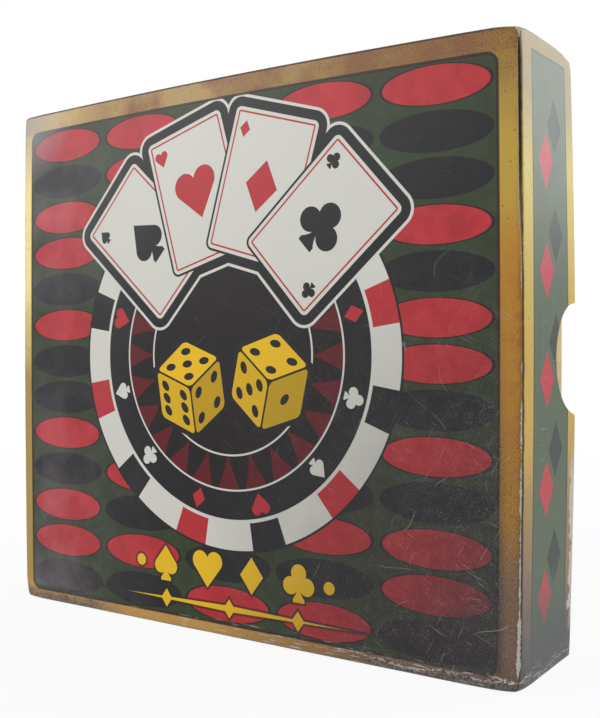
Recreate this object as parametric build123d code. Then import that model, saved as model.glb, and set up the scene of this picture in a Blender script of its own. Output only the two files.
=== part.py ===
from build123d import *
import math
import os

# A two-piece telescoping gift box for a metal casino set, in millimetres.
# It stands on its bottom wall: front face towards -Y, right side towards +X, up is +Z.

# Closed box, outside the lid
box_width = 190.0
box_height = 175.0
box_depth = 40.0

# Sheet goods
lid_board_t = 1.8
base_board_t = 1.5
wrap_t = 0.2
liner_t = 0.12
stay_t = 0.15

# Folded and wrapped trays: the board folds on a scored bevel, and the lid's paper rounds over it
lid_fold_r = 1.2
lid_score_bevel = 0.8
base_score_bevel = 0.7
lid_turn_in = 17.0
base_turn_in = 13.0
liner_edge_gap = 0.3
corner_seam = 0.15
stay_width = 10.0
stay_above_floor = 1.0

# Thumb notches in the lid's side walls, round, with their centre just outside the rim
notch_r = 16.2
notch_centre_out = 1.2
notch_lip_r = 1.0

# How the base sits in the lid
slip_gap = 0.4
rim_recess = 0.3
lid_floor_gap = 0.4

# Foam insert: three sheets glued face to face
foam_side_gap = 0.3
foam_below_rim = 1.0
foam_middle_t = 12.6
pocket_gap = 0.3
corner_relief_r = 1.5

# Chips, in columns and rows at the right of the insert
chip_r = 20.0
chip_t = 3.3
chip_below_foam = 0.3
chip_spot_depth = 4.6
chip_spot_count = 6
chip_spot_angle = 22.0
chip_field_r = 13.6
chip_field_sides = 12
chip_relief = 0.35
chip_emblem_size = 16.0
chip_column_web = 6.8
chip_row_web = 11.4
chip_finger_reach = 4.4
chip_emblems = [["spade", "heart"], ["club", "diamond"], ["star", "star"]]

# Metal playing card, at the upper left
card_width = 63.0
card_height = 88.0
card_t = 1.5
card_corner_r = 3.5
card_line_inset = 3.0
card_line_width = 0.7
card_line_depth = 0.25
card_emblem_size = 34.0
card_pip_size = 8.0
card_pip_inset = 9.5
card_inlay_t = 0.4
card_finger_r = 11.0

# Dice, below the card
die_size = 16.0
die_edge_bevel = 0.9
die_web = 13.4
die_finger_reach = 3.8
pip_r = 1.5
pip_sides = 8
pip_depth = 0.6
pip_pitch = 4.3
die_roll_angles = (0, -90)

# Depths that follow from the sheets and gaps
lid_floor = wrap_t + lid_board_t
base_floor = wrap_t + base_board_t
base_inset = lid_floor + wrap_t + slip_gap
base_width = box_width - 2 * base_inset
base_height = box_height - 2 * base_inset
base_depth = box_depth - rim_recess - lid_floor - liner_t - lid_floor_gap
base_wall = base_floor + wrap_t
foam_width = base_width - 2 * (base_wall + foam_side_gap)
foam_height = base_height - 2 * (base_wall + foam_side_gap)
foam_back = base_floor + liner_t
foam_front = base_depth - foam_below_rim
foam_top_t = chip_t + chip_below_foam
pocket_floor = foam_front - foam_top_t
well_floor = pocket_floor - foam_middle_t

# Pockets that follow from what they hold
chip_pocket_r = chip_r + pocket_gap
chip_column_pitch = 2 * chip_pocket_r + chip_column_web
chip_row_pitch = 2 * chip_pocket_r + chip_row_web
chip_finger_r = chip_row_web / 2 + chip_finger_reach
card_pocket_width = card_width + 2 * pocket_gap
card_pocket_height = card_height + 2 * pocket_gap
die_well = die_size + 2 * pocket_gap
die_spacing = die_well + die_web
die_finger_r = die_web / 2 + die_finger_reach

# The lid opens backwards and the base opens forwards
lid_place = Plane(origin=(0, -box_depth / 2, box_height / 2), x_dir=(-1, 0, 0), z_dir=(0, 1, 0)).location
base_origin = (0, box_depth / 2 - rim_recess, box_height / 2)
base_place = Plane(origin=base_origin, x_dir=(1, 0, 0), z_dir=(0, -1, 0)).location


def slab(outline, low, high):
    """A flat outline raised into a solid from low to high."""
    return extrude(Pos(0, 0, low) * outline, high - low)


def folded_block(width, height, low, high, soften, fold):
    """A block with a square top, its floor folds and corner folds rounded or bevelled."""
    block = slab(Rectangle(width, height), low, high)
    folds = block.edges().filter_by(Axis.Z) + block.faces().sort_by(Axis.Z)[0].edges()
    return soften(folds, fold)


def outer_bevel(bevel, sheet_t):
    """Bevel on the outside of a sheet of even thickness laid over a bevelled fold."""
    return bevel + sheet_t * (2 - math.sqrt(2))


# Trays


def tray_board(width, height, depth, board_t, bevel, stays):
    """Scored board folded up into a tray, its corner seams open and its stays let in flush."""
    floor = wrap_t + board_t
    board = folded_block(
        width - 2 * wrap_t, height - 2 * wrap_t, wrap_t, depth - wrap_t, chamfer, bevel
    )
    board -= slab(Rectangle(width - 2 * floor, height - 2 * floor), floor, depth)
    seam_y = height / 2 - floor - corner_seam / 2
    for y in (seam_y, -seam_y):
        board -= slab(Pos(0, y) * Rectangle(width, corner_seam), floor, depth)
    return board - stays


def corner_stays(width, height, depth, board_t, bevel):
    """Four angles of gummed tape that hold the tray's corners together."""
    low = wrap_t + board_t + stay_above_floor
    high = depth - wrap_t
    inset = wrap_t + stay_t
    skin = folded_block(width - 2 * wrap_t, height - 2 * wrap_t, wrap_t, high, chamfer, bevel)
    skin -= folded_block(
        width - 2 * inset, height - 2 * inset, inset, depth, chamfer, bevel - outer_bevel(0, stay_t)
    )
    corners = Rectangle(width, height)
    corners -= Rectangle(width - 2 * stay_width, height)
    corners -= Rectangle(width, height - 2 * stay_width)
    return skin & slab(corners, low, high)


def tray_wrap(width, height, depth, board_t, bevel, turn_in, skin):
    """Paper glued round the board and turned in over its rim, cut from the skin's outer shape."""
    floor = wrap_t + board_t
    wrap = skin - folded_block(
        width - 2 * wrap_t, height - 2 * wrap_t, wrap_t, depth - wrap_t, chamfer, bevel
    )
    wrap += slab(Rectangle(width - 2 * floor, height - 2 * floor), depth - turn_in, depth)
    mouth = floor + wrap_t
    return wrap - slab(Rectangle(width - 2 * mouth, height - 2 * mouth), floor, depth)


def tray_liner(width, height, depth, board_t, turn_in):
    """Thin paper lining the floor and the walls as far as the turned-in wrap."""
    floor = wrap_t + board_t
    high = depth - turn_in - liner_edge_gap
    liner = slab(Rectangle(width - 2 * floor, height - 2 * floor), floor, high)
    inside = floor + liner_t
    return liner - slab(Rectangle(width - 2 * inside, height - 2 * inside), inside, high)


def wrapped_tray(width, height, depth, board_t, bevel, turn_in, skin):
    """Board, stays, wrap and liner of one tray, floor at Z = 0 and open towards +Z."""
    stays = corner_stays(width, height, depth, board_t, bevel)
    return {
        "board": tray_board(width, height, depth, board_t, bevel, stays),
        "corner_stays": stays,
        "wrap": tray_wrap(width, height, depth, board_t, bevel, turn_in, skin),
        "liner": tray_liner(width, height, depth, board_t, turn_in),
    }


def thumb_cut():
    """Round bite through both side walls at mid-height, with softened lips at the rim."""
    above = 2 * notch_r
    profile = Pos(0, box_depth + above / 2) * Rectangle(3 * notch_r, above)
    profile += Pos(0, box_depth + notch_centre_out) * Circle(notch_r)
    lips = [v for v in profile.vertices() if abs(v.Y - box_depth) < 1e-6 and abs(v.X) < 1.2 * notch_r]
    profile = fillet(lips, notch_lip_r)
    across = Plane(origin=(0, 0, 0), x_dir=(0, 1, 0), z_dir=(1, 0, 0))
    return extrude(across * profile, box_width, both=True)


# Suit emblems, centred, as tall as their size


def stem(size):
    """Flared foot of a spade or club."""
    height = 0.42 * size
    foot = Pos(0, -0.5 * size + height / 2) * Rectangle(0.36 * size, height)
    flare = 0.45 * size
    for side in (1, -1):
        foot -= Pos(side * (0.04 * size + flare), -0.5 * size + height) * Circle(flare)
    return foot


def heart(size):
    """Two round lobes drawn down to a point by tangent lines."""
    lobe = 0.27 * size
    centre = Vector(0.25 * size, 0.23 * size)
    tip = Vector(0, -0.5 * size)
    reach = (centre - tip).length
    turn = math.atan2(centre.Y - tip.Y, centre.X - tip.X) - math.asin(lobe / reach)
    run = math.sqrt(reach**2 - lobe**2)
    touch = (run * math.cos(turn), tip.Y + run * math.sin(turn))
    shape = Polygon(
        (0, tip.Y), touch, (centre.X, centre.Y), (-centre.X, centre.Y), (-touch[0], touch[1]), align=None
    )
    for side in (1, -1):
        shape += Pos(side * centre.X, centre.Y) * Circle(lobe)
    return shape


def spade(size):
    """An upturned heart on a stem."""
    return Pos(0, 0.1 * size) * Rot(0, 0, 180) * heart(0.8 * size) + stem(size)


def club(size):
    """Three round leaves on a stem."""
    leaf = 0.235 * size
    shape = stem(size) + Circle(0.12 * size)
    for x, y in ((0, 0.265 * size), (0.25 * size, -0.07 * size), (-0.25 * size, -0.07 * size)):
        shape += Pos(x, y) * Circle(leaf)
    return shape


def diamond(size):
    """An upright lozenge."""
    half = size / 2
    return Polygon((0, -half), (0.76 * half, 0), (0, half), (-0.76 * half, 0), align=None)


def star(size):
    """A five-pointed star."""
    half = size / 2
    points = []
    for step in range(10):
        reach = half if step % 2 == 0 else 0.42 * half
        angle = math.radians(90 + 36 * step)
        points.append((reach * math.cos(angle), reach * math.sin(angle)))
    return Polygon(*points, align=None)


emblems = {"spade": spade, "heart": heart, "club": club, "diamond": diamond, "star": star}


# Contents


def chip_parts(emblem):
    """Struck metal chip with its edge spots cut through, and the enamel blocks that fill them."""
    blank = slab(Circle(chip_r), 0, chip_t)
    reach = 2 * chip_r
    half_angle = math.radians(chip_spot_angle / 2)
    wedge = Polygon(
        (0, 0),
        (reach * math.cos(half_angle), -reach * math.sin(half_angle)),
        (reach * math.cos(half_angle), reach * math.sin(half_angle)),
        align=None,
    )
    wedge -= Circle(chip_r - chip_spot_depth)
    spots = Part() + [turn * slab(wedge, 0, chip_t) for turn in PolarLocations(0, chip_spot_count)]
    field = RegularPolygon(chip_field_r, chip_field_sides)
    metal = blank - spots - slab(field, 0, chip_relief)
    metal -= slab(field - emblems[emblem](chip_emblem_size), chip_t - chip_relief, chip_t)
    return metal, blank & spots


def card_parts():
    """Metal playing card with an engraved border and three inlaid spades."""
    plate = slab(RectangleRounded(card_width, card_height, card_corner_r), 0, card_t)
    line = Sketch()
    for inset in (card_line_inset, card_line_inset + card_line_width):
        frame_r = max(card_corner_r - inset, 0.5)
        frame = RectangleRounded(card_width - 2 * inset, card_height - 2 * inset, frame_r)
        line = frame if inset == card_line_inset else line - frame
    plate -= slab(line, card_t - card_line_depth, card_t)
    pip_x = card_width / 2 - card_pip_inset
    pip_y = card_height / 2 - card_pip_inset
    pip = Pos(-pip_x, pip_y) * spade(card_pip_size)
    suits = spade(card_emblem_size) + pip + Rot(0, 0, 180) * pip
    inlay = slab(suits, card_t - card_inlay_t, card_t)
    return plate - inlay, inlay


def pip_spots(count):
    """Places of the pips on one face of a die, in pitches from its middle."""
    spots = []
    if count % 2 == 1:
        spots.append((0, 0))
    if count >= 2:
        spots += [(-1, 1), (1, -1)]
    if count >= 4:
        spots += [(-1, -1), (1, 1)]
    if count == 6:
        spots += [(-1, 0), (1, 0)]
    return spots


def die_parts():
    """Metal die with drilled pips, opposite faces adding to seven, and the enamel in the pips."""
    half = die_size / 2
    cube = Box(die_size, die_size, die_size)
    cube = chamfer(cube.edges(), die_edge_bevel)
    pip = slab(RegularPolygon(pip_r, pip_sides), half - pip_depth, half)
    turns = {5: (0, 0), 2: (180, 0), 6: (90, 0), 1: (-90, 0), 4: (0, 90), 3: (0, -90)}
    pips = []
    for count, (about_x, about_y) in turns.items():
        for x, y in pip_spots(count):
            pips.append(Rot(about_x, about_y, 0) * Pos(x * pip_pitch, y * pip_pitch) * pip)
    pips = Part() + pips
    return cube - pips, pips


# Foam insert


def foam_layout():
    """Where the chips, the card and the dice lie, seen from the front, with even margins."""
    columns = len(chip_emblems[0])
    rows = len(chip_emblems)
    chips_width = (columns - 1) * chip_column_pitch + 2 * chip_pocket_r
    chips_height = (rows - 1) * chip_row_pitch + 2 * chip_pocket_r
    margin = (foam_width - card_pocket_width - chips_width) / 3
    first_x = foam_width / 2 - margin - chips_width + chip_pocket_r
    first_y = chips_height / 2 - chip_pocket_r
    chips = []
    for row in range(rows):
        for column in range(columns):
            chips.append((first_x + column * chip_column_pitch, first_y - row * chip_row_pitch))
    card_x = -foam_width / 2 + margin + card_pocket_width / 2
    card = (card_x, chips_height / 2 - card_pocket_height / 2)
    die_y = -chips_height / 2 + die_well / 2
    dice = [(card_x - die_spacing / 2, die_y), (card_x + die_spacing / 2, die_y)]
    return chips, card, dice


def foam_layers(chips, card, dice):
    """Top sheet with every pocket, middle sheet with the dice wells and finger gaps, plain bottom."""
    blank = Rectangle(foam_width, foam_height)
    gaps = Sketch()
    for x, y in chips:
        if y > chips[-1][1]:
            gaps += Pos(x, y - chip_row_pitch / 2) * Circle(chip_finger_r)
    gaps += Pos(card[0], card[1] - card_pocket_height / 2) * Circle(card_finger_r)
    gaps += Pos(card[0], dice[0][1]) * Circle(die_finger_r)
    for x, y in dice:
        gaps += Pos(x, y) * RectangleRounded(die_well, die_well, corner_relief_r)
    pockets = gaps
    for x, y in chips:
        pockets += Pos(x, y) * Circle(chip_pocket_r)
    card_pocket = RectangleRounded(card_pocket_width, card_pocket_height, card_corner_r + pocket_gap)
    pockets += Pos(*card) * card_pocket
    return {
        "foam_top_layer": slab(blank - pockets, pocket_floor, foam_front),
        "foam_middle_layer": slab(blank - gaps, well_floor, pocket_floor),
        "foam_bottom_layer": slab(blank, foam_back, well_floor),
    }


# Assembly

parts = {}

lid_skin = folded_block(box_width, box_height, 0, box_depth, fillet, lid_fold_r)
lid = wrapped_tray(
    box_width, box_height, box_depth, lid_board_t, lid_score_bevel, lid_turn_in, lid_skin
)
notches = thumb_cut()
for name, solid in lid.items():
    cut = solid - notches if name in ("board", "wrap") else solid
    parts["lid_" + name] = lid_place * cut

base_bevel = outer_bevel(base_score_bevel, wrap_t)
base_skin = folded_block(base_width, base_height, 0, base_depth, chamfer, base_bevel)
base = wrapped_tray(
    base_width, base_height, base_depth, base_board_t, base_score_bevel, base_turn_in, base_skin
)
for name, solid in base.items():
    parts["base_" + name] = base_place * solid

chip_spots, card_spot, die_spots = foam_layout()
for name, solid in foam_layers(chip_spots, card_spot, die_spots).items():
    parts[name] = base_place * solid

chip_names = [emblem for row in chip_emblems for emblem in row]
for number, (emblem, (x, y)) in enumerate(zip(chip_names, chip_spots), start=1):
    seat = base_place * Pos(x, y, pocket_floor)
    metal, enamel = chip_parts(emblem)
    parts[f"chip_{number}_metal"] = seat * metal
    parts[f"chip_{number}_enamel"] = seat * enamel

card_seat = base_place * Pos(card_spot[0], card_spot[1], pocket_floor)
plate, inlay = card_parts()
parts["card_plate"] = card_seat * plate
parts["card_inlay"] = card_seat * inlay

cube, pips = die_parts()
for number, ((x, y), roll) in enumerate(zip(die_spots, die_roll_angles), start=1):
    seat = base_place * Pos(x, y, well_floor + die_size / 2) * Rot(roll, 0, 0)
    parts[f"die_{number}_cube"] = seat * cube
    parts[f"die_{number}_pips"] = seat * pips

os.makedirs("parts", exist_ok=True)
for name, solid in parts.items():
    solid.label = name
    export_step(solid, f"parts/{name}.step")
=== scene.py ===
import math

import bmesh
import bpy
import numpy as np
from bpy.props import FloatProperty, FloatVectorProperty, IntProperty, PointerProperty
from mathutils import Matrix, Vector, noise


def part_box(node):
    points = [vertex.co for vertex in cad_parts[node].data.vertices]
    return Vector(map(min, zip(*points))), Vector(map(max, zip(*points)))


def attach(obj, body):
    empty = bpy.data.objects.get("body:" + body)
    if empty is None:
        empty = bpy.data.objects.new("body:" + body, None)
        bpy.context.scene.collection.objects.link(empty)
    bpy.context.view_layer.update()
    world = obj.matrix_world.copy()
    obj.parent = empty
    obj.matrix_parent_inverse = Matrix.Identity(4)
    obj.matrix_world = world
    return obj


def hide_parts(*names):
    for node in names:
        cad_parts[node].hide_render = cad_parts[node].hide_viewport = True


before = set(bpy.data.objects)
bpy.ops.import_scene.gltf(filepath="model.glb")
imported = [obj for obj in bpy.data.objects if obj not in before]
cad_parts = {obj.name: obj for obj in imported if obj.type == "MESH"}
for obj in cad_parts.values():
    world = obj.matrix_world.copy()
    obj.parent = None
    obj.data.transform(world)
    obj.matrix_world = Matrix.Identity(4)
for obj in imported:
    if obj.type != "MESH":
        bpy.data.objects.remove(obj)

bl_info = {
    "name": "Casino Game Box",
    "version": (1, 0, 0),
    "blender": (4, 5, 0),
    "location": "3D View > Sidebar > Game Box",
    "description": "Printed lid, gold base, foam insert and metal pieces of a worn casino game box",
    "category": "Object",
}

# Patterns and wear are worked out in millimetres, objects are in metres
MM = 0.001
TWO_PI = 2 * math.pi


def corners_mm(node):
    """Lowest and highest corner of a packed piece, in millimetres."""
    low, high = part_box(node)
    return low / MM, high / MM


LID_LOW, LID_HIGH = corners_mm("lid_wrap")
BASE_LOW, BASE_HIGH = corners_mm("base_wrap")
CHIP_FACE = corners_mm("chip_1_metal")[0].y
HALF_WIDTH = LID_HIGH.x
HEIGHT = LID_HIGH.z
FRONT = LID_LOW.y
RIM = LID_HIGH.y
DEPTH = RIM - FRONT

# Front panel inside its gold border
PANEL_LEFT = -HALF_WIDTH + 4.7
PANEL_RIGHT = HALF_WIDTH - 6.5
PANEL_BOTTOM = 4.0
PANEL_TOP = HEIGHT - 6.8
PANEL_WIDTH = PANEL_RIGHT - PANEL_LEFT
PANEL_HEIGHT = PANEL_TOP - PANEL_BOTTOM
PANEL_MID = ((PANEL_LEFT + PANEL_RIGHT) / 2, (PANEL_BOTTOM + PANEL_TOP) / 2)
PANEL_CORNER_R = 3.2

# Flank panels, measured back from the front fold and in from each end
FLANK_NEAR = 8.0
FLANK_FAR = DEPTH - 5.8
FLANK_END = 4.7
FLANK_MIDDLE = HEIGHT / 2 - 0.5
LOZENGE_PITCH = 29.8
LOZENGE_HALF = (5.4, 7.7)
LOZENGE_STAGGER = 5.05
LOZENGE_RED_BACK = 18.0
LOZENGE_BLACK_BACK = 24.8

# Fixed colours of the print, its wear and the painted shade of its folds, from 0 to 255
PAPER_WHITE = (214, 210, 202)
# Painted shade for the dark strip along the front fold and the split in it
PAINTED_FOLD_SHADE = (30, 20, 20)
FIXED_INKS = {
    "dark line": (40, 27, 27),
    "flank black": (42, 52, 43),
    "flank red": (198, 50, 64),
    "deep red": (96, 26, 34),
    "deep black": (30, 25, 27),
    "orange": (186, 134, 50),
    "bright gold": (216, 190, 74),
    "rust": (134, 108, 92),
}

# Makes back ** 3 * (1 - back) reach 1 at its highest, three quarters of the way back
SHOULDER_RISE = 256 / 27


def colour_setting(name, description, rgb):
    """A colour that the user can change, given as the eye sees it from 0 to 255."""
    return FloatVectorProperty(
        name=name, description=description, subtype="COLOR_GAMMA", size=3, min=0, max=1,
        default=tuple(part / 255 for part in rgb),
    )


def length_setting(name, description, size_mm):
    """A length that the user can change, given in millimetres and kept in metres."""
    return FloatProperty(name=name, description=description, default=size_mm * MM, unit="LENGTH", precision=4)


def angle_setting(name, description, degrees):
    """An angle that the user can change, given in degrees."""
    return FloatProperty(name=name, description=description, default=math.radians(degrees), subtype="ANGLE")


def power_setting(name, description, watts):
    """The power of a lamp, which the user can change."""
    return FloatProperty(name=name, description=description, default=watts, subtype="POWER")


def strength_setting(name, description, strength):
    """A strength that the user can change, where 0 is none."""
    return FloatProperty(name=name, description=description, default=strength, subtype="FACTOR")


class PrintSettings(bpy.types.PropertyGroup):
    """Inks and main sizes of the print on the lid."""

    green: colour_setting("Panel green", "Ground of the printed panels", (52, 63, 44))
    red: colour_setting("Red", "Red ovals, lozenges and suits", (184, 50, 57))
    black: colour_setting("Black", "Black ovals and outlines", (32, 31, 34))
    cream: colour_setting("Cream", "Card faces and pale blocks", (215, 214, 206))
    yellow: colour_setting("Yellow", "Dice and ornaments", (238, 192, 36))
    gold: colour_setting("Border gold", "Printed gold border", (176, 145, 80))
    brown: colour_setting("Border brown", "Age stains and thin lines of the border", (84, 54, 42))
    oval_columns: IntProperty(name="Oval columns", description="Ovals across the front", default=5, min=1)
    oval_rows: IntProperty(name="Oval rows", description="Ovals down the front", default=13, min=1)
    oval_width: length_setting("Oval width", "Width of one oval", 34.0)
    oval_height: length_setting("Oval height", "Height of one oval", 11.3)
    medallion_radius: length_setting("Medallion radius", "Outside of the medallion's ring", 60.6)
    medallion_up: length_setting("Medallion height", "Middle of the medallion above the bottom", 88.0)
    card_width: length_setting("Card width", "Width of one printed card", 33.0)
    card_height: length_setting("Card height", "Height of one printed card", 46.0)
    fan_angle: angle_setting("Fan angle", "Turn from one printed card to the next", 32)
    die_edge: length_setting("Die edge", "Edge of one printed die", 15.5)


class WearSettings(bpy.types.PropertyGroup):
    """How far use has bent and rubbed the lid."""

    rim_bow: length_setting("Rim bow", "How far the lid's side walls bow out at the rim", 1.6)
    fold_bow: length_setting("Fold bow", "How far the lid's side walls bow out at the front fold", 0.7)
    fold_lean: length_setting("Fold lean", "How far the right front fold stands out", 0.9)
    top_bow: length_setting("Top bow", "How far the lid's top wall bows up", 1.1)
    shoulder_bow: length_setting("Shoulder bow", "How far the upper side folds bow up", 0.8)
    base_bow: length_setting("Base bow", "How far the base's side walls bow out at the back", 0.6)
    crush: length_setting("Crush", "How far the lower folds are pushed in", 0.1)
    corner_crush: length_setting("Corner crush", "How far the front corners are pushed in", 1.9)
    rim_corner_crush: length_setting(
        "Rim corner crush", "How far the upper corners are pushed in at the rim", 0.4
    )
    rubbing: strength_setting("Rubbing", "How much print is rubbed off the folds", 1.0)
    grime: strength_setting("Grime", "How dark the dirt is", 1.0)


class MetalSettings(bpy.types.PropertyGroup):
    """Finish of the chips, the card, the dice and the gold paper."""

    plating: colour_setting("Plating", "Gold plating of the metal pieces", (222, 178, 98))
    paper: colour_setting("Gold paper", "Paper of the base", (204, 176, 112))
    red_enamel: colour_setting("Red enamel", "Enamel of two chips", (150, 16, 26))
    green_enamel: colour_setting("Green enamel", "Enamel of two chips", (18, 92, 52))
    black_enamel: colour_setting("Black enamel", "Enamel of two chips, the card and the dice", (18, 18, 20))


class StageSettings(bpy.types.PropertyGroup):
    """Camera and light."""

    lens: FloatProperty(name="Lens", description="Focal length in millimetres", default=50.2)
    camera_place: FloatVectorProperty(
        name="Camera place", description="Where the camera stands", subtype="TRANSLATION", unit="LENGTH",
        default=(0.1945, -0.2662, 0.0904),
    )
    camera_yaw: angle_setting("Camera yaw", "Turn of the view to the left", 34.25)
    camera_pitch: angle_setting("Camera pitch", "Tilt of the view upwards", -0.56)
    camera_roll: angle_setting("Camera roll", "Lean of the camera", -0.05)
    key_power: power_setting("Key light", "Power of the lamp in front and to the left", 7.2)
    back_power: power_setting("Back light", "Power of the lamp behind and to the right", 9.4)
    soft_light: strength_setting("Soft light", "How strongly the surroundings light the box", 0.45)


def linear(rgb):
    """A colour as the eye sees it turned into light, with full alpha."""
    light = [part / 12.92 if part <= 0.04045 else ((part + 0.055) / 1.055) ** 2.4 for part in rgb]
    return (*light, 1.0)


def shade(red, green, blue):
    """A fixed colour given from 0 to 255."""
    return linear((red / 255, green / 255, blue / 255))


# Shader arithmetic


class Field:
    """A number that changes over a surface. Arithmetic on it adds Math nodes to that surface."""

    def __init__(self, surface, socket):
        self.surface = surface
        self.socket = socket

    def __add__(self, other):
        return self.surface.maths("ADD", self, other)

    def __sub__(self, other):
        return self.surface.maths("SUBTRACT", self, other)

    def __rsub__(self, other):
        return self.surface.maths("SUBTRACT", other, self)

    def __mul__(self, other):
        return self.surface.maths("MULTIPLY", self, other)

    def __truediv__(self, other):
        return self.surface.maths("DIVIDE", self, other)

    def __neg__(self):
        return self.surface.maths("MULTIPLY", self, -1.0)

    def __abs__(self):
        return self.surface.maths("ABSOLUTE", self)

    def __lt__(self, other):
        return self.surface.maths("LESS_THAN", self, other)

    def __gt__(self, other):
        return self.surface.maths("GREATER_THAN", self, other)

    __radd__ = __add__
    __rmul__ = __mul__

    def least(self, other):
        return self.surface.maths("MINIMUM", self, other)

    def most(self, other):
        return self.surface.maths("MAXIMUM", self, other)

    def wrapped(self, period):
        """The distance from the nearest multiple of a period, with its sign."""
        return self.surface.maths("WRAP", self, period / 2, -period / 2)

    def between(self, low, high):
        """0 at low and 1 at high, and held there beyond them."""
        scale = 1 / (high - low)
        return self.surface.maths("MULTIPLY_ADD", self, scale, -low * scale, clamp=True)


class Shading:
    """The node tree of a material or a world under construction."""

    def __init__(self, owner):
        owner.use_nodes = True
        self.tree = owner.node_tree
        self.tree.nodes.clear()

    def add(self, kind, settings, sockets):
        """Adds one node: its kind, its settings first, then values or links for its sockets."""
        node = self.tree.nodes.new(kind)
        for name, value in settings.items():
            setattr(node, name, value)
        for key, value in sockets.items():
            source = value.socket if isinstance(value, Field) else value
            if isinstance(source, bpy.types.NodeSocket):
                self.tree.links.new(source, node.inputs[key])
            else:
                node.inputs[key].default_value = source
        return node

    def maths(self, operation, *values, clamp=False):
        settings = {"operation": operation, "use_clamp": clamp}
        return Field(self, self.add("ShaderNodeMath", settings, dict(enumerate(values))).outputs[0])


class Surface(Shading):
    """A material under construction, with its places in millimetres as x, y and z."""

    def __init__(self, name):
        self.material = bpy.data.materials.new(name)
        super().__init__(self.material)
        coordinates = self.add("ShaderNodeTexCoord", {}, {})
        scale = {0: coordinates.outputs["Object"], "Scale": 1 / MM}
        self.place = self.add("ShaderNodeVectorMath", {"operation": "SCALE"}, scale).outputs[0]
        parts = self.add("ShaderNodeSeparateXYZ", {}, {0: self.place})
        self.x, self.y, self.z = (Field(self, socket) for socket in parts.outputs)

    def reach(self, across, up):
        """Distance from the origin of two coordinates."""
        joined = self.add("ShaderNodeCombineXYZ", {}, {0: across, 1: up}).outputs[0]
        return Field(self, self.add("ShaderNodeVectorMath", {"operation": "LENGTH"}, {0: joined}).outputs[1])

    def ink(self, distance, soft=0.12):
        """1 inside an outline and 0 outside, from the signed distance to it."""
        return distance.between(soft / 2, -soft / 2)

    def line(self, distance, width):
        """1 on a line drawn along an outline."""
        return self.ink(abs(distance) - width / 2)

    def mix(self, share, under, over):
        """One colour laid over another by a share."""
        sockets = {0: share, 6: under, 7: over}
        return self.add("ShaderNodeMix", {"data_type": "RGBA"}, sockets).outputs[2]

    def layered(self, colour, *layers):
        """A colour with fixed colours laid over it in turn, each by its share."""
        for share, rgb in layers:
            colour = self.mix(share, colour, shade(*rgb))
        return colour

    def scaled(self, colour, factor):
        """A colour made lighter or darker."""
        base = colour[:3] if isinstance(colour, tuple) else colour
        return self.add("ShaderNodeVectorMath", {"operation": "SCALE"}, {0: base, "Scale": factor}).outputs[0]

    def noise(self, size, detail=2.0, rough=0.5, place=None):
        """Cloudy noise from 0 to 1 with spots of about a size in millimetres."""
        sockets = {"Vector": place or self.place, "Scale": 1 / size, "Detail": detail, "Roughness": rough}
        return Field(self, self.add("ShaderNodeTexNoise", {"noise_dimensions": "3D"}, sockets).outputs[0])

    def streaks(self, turn, length, width):
        """Noise drawn out into long thin streaks that slope down to the right by an angle."""
        scale = (length, length, width)
        sockets = {"Vector": self.place, "Rotation": (0, math.radians(turn), 0), "Scale": scale}
        mapped = self.add("ShaderNodeMapping", {"vector_type": "TEXTURE"}, sockets).outputs[0]
        return self.noise(1.0, detail=1.0, place=mapped)

    def specks(self, spacing, radius):
        """Scattered round specks, one in each cell of a spacing."""
        sockets = {"Vector": self.place, "Scale": 1 / spacing}
        cells = self.add("ShaderNodeTexVoronoi", {"feature": "F1"}, sockets)
        return self.ink(Field(self, cells.outputs["Distance"]) * spacing - radius, radius)

    def shiny(self, **sockets):
        """Ends the material in a Principled shader."""
        named = {name.replace("_", " "): value for name, value in sockets.items()}
        shader = self.add("ShaderNodeBsdfPrincipled", {}, named)
        self.add("ShaderNodeOutputMaterial", {}, {"Surface": shader.outputs[0]})
        return self.material

    def bump(self, height, relief_mm, strength):
        """A normal raised by a height field."""
        sockets = {"Height": height, "Distance": relief_mm * MM, "Strength": strength}
        return self.add("ShaderNodeBump", {}, sockets).outputs[0]


# Suit marks, as signed distances: centred, and as tall as their size


def heart(s, x, y, size):
    """Two round lobes drawn down to a point."""
    side = abs(x)
    lobe = s.reach(side - 0.25 * size, y - 0.23 * size) - 0.27 * size
    slope = side * 0.773 - (y + 0.5 * size) * 0.635
    brow = y - 0.22 * size + side * 0.35
    return lobe.least(slope.most(brow))


def stem(s, x, y, size):
    """Flared foot of a spade or club."""
    side = abs(x)
    foot = (side - 0.18 * size).most(abs(y + 0.29 * size) - 0.21 * size)
    return foot.most(0.45 * size - s.reach(side - 0.49 * size, y + 0.08 * size))


def spade(s, x, y, size):
    """An upturned heart on a stem."""
    return heart(s, x, -(y - 0.1 * size), 0.8 * size).least(stem(s, x, y, size))


def club(s, x, y, size):
    """Three round leaves on a stem."""
    upper = s.reach(x, y - 0.265 * size) - 0.235 * size
    lower = s.reach(abs(x) - 0.25 * size, y + 0.07 * size) - 0.235 * size
    middle = s.reach(x, y) - 0.12 * size
    return upper.least(lower).least(middle).least(stem(s, x, y, size))


def diamond(s, x, y, size):
    """An upright lozenge."""
    return (abs(x) / (0.38 * size) + abs(y) / (0.5 * size) - 1) * (0.3 * size)


SUITS = [spade, heart, diamond, club]


def rounded_box(s, x, y, half_x, half_y, corner):
    """Signed distance to a rectangle with round corners."""
    over_x = abs(x) - (half_x - corner)
    over_y = abs(y) - (half_y - corner)
    outside = s.reach(over_x.most(0), over_y.most(0))
    return outside + over_x.most(over_y).least(0) - corner


def turned(x, y, angle):
    """Coordinates in a frame turned clockwise by an angle."""
    cos, sin = math.cos(angle), math.sin(angle)
    return x * cos - y * sin, y * cos + x * sin


# Print on the front of the lid


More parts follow.
